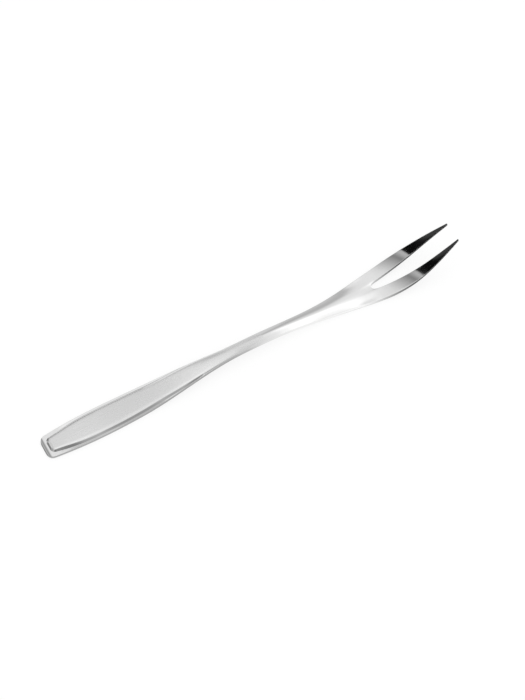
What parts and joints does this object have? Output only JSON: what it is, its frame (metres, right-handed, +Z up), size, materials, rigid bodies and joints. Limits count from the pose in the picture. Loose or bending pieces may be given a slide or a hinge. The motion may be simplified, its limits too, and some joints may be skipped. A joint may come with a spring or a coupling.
{
  "type": "escargot fork",
  "caption": "Slim polished steel fork for lifting snails from their shells, with long upturned tines, an arched neck and a flat handle with a raised panel inside a border.",
  "frame": {"origin": "on the surface that the fork lies on, under the middle of its length and width", "axes": "+X along the fork towards its tips, +Y across the handle, +Z up through the front of the fork"},
  "size_m": [0.145, 0.0124, 0.012],
  "materials": {
    "polished_steel": "mirror polished",
    "satin_steel": "fine satin"
  },
  "bodies": {
    "root": {"fork_blank": "polished_steel", "handle_panel": "satin_steel"}
  },
  "joints": []
}
